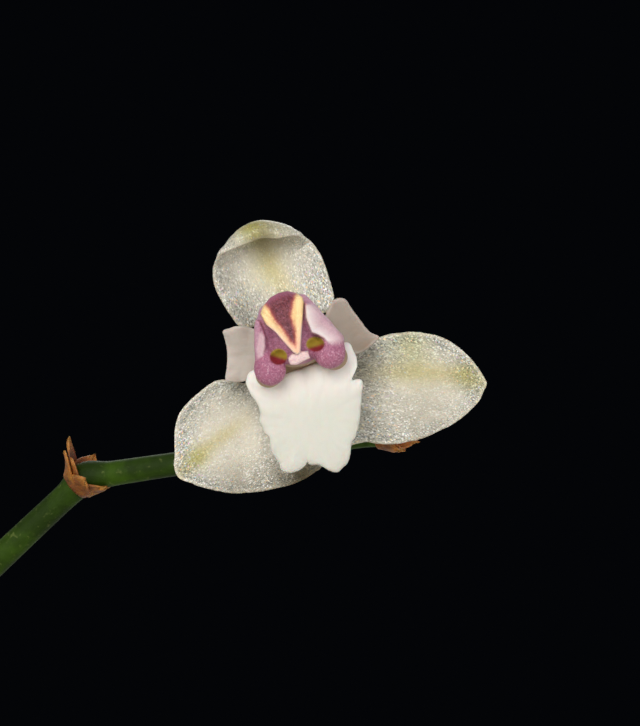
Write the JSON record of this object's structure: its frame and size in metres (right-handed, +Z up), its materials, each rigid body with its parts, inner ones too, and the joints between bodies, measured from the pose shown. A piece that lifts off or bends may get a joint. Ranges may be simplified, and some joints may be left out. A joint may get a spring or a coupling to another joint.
{
  "type": "potted orchid plant",
  "caption": "Small tufted orchid with slender single-leaved stems in a clay pot of bark, bearing thin jointed flower stems with white open blooms that have a purple column.",
  "frame": {"origin": "middle of the pot's flat base, at the ground", "axes": "+Z up out of the pot; -Y towards the side that the front bloom faces; +X to that viewer's right"},
  "size_m": [0.1442, 0.1261, 0.1667],
  "materials": {
    "clay": "matt, unglazed, faint lime bloom",
    "bark": "rough bark chips",
    "root": "matt greyish velvet skin",
    "leaf": "smooth, leathery, satin",
    "flower_stem": "satin, with orange-brown papery bracts",
    "sepal": "crystalline white with a yellow-green middle band",
    "petal": "smooth, pinkish white",
    "lip": "opaque white, finely grained",
    "column": "velvety purple with cream ridges"
  },
  "bodies": {
    "root": {"pot": "clay", "bark_filling": "bark", "rhizome_and_roots": "root", "leafy_stem_1": "leaf", "leafy_stem_2": "leaf", "leafy_stem_3": "leaf", "leafy_stem_4": "leaf", "leafy_stem_5": "leaf", "leafy_stem_6": "leaf", "leafy_stem_7": "leaf", "leafy_stem_8": "leaf", "leafy_stem_9": "leaf", "flower_stem_1": "flower_stem", "flower_stem_2": "flower_stem", "front_bloom_dorsal_sepal": "sepal", "front_bloom_lateral_sepal_left": "sepal", "front_bloom_lateral_sepal_right": "sepal", "front_bloom_petal_left": "petal", "front_bloom_petal_right": "petal", "front_bloom_lip": "lip", "front_bloom_column": "column", "bloom_2_petals": "sepal", "bloom_2_column": "column", "bloom_3_petals": "sepal", "bloom_3_column": "column", "bloom_4_petals": "sepal", "bloom_4_column": "column", "bloom_5_petals": "sepal", "bloom_5_column": "column"}
  },
  "joints": []
}
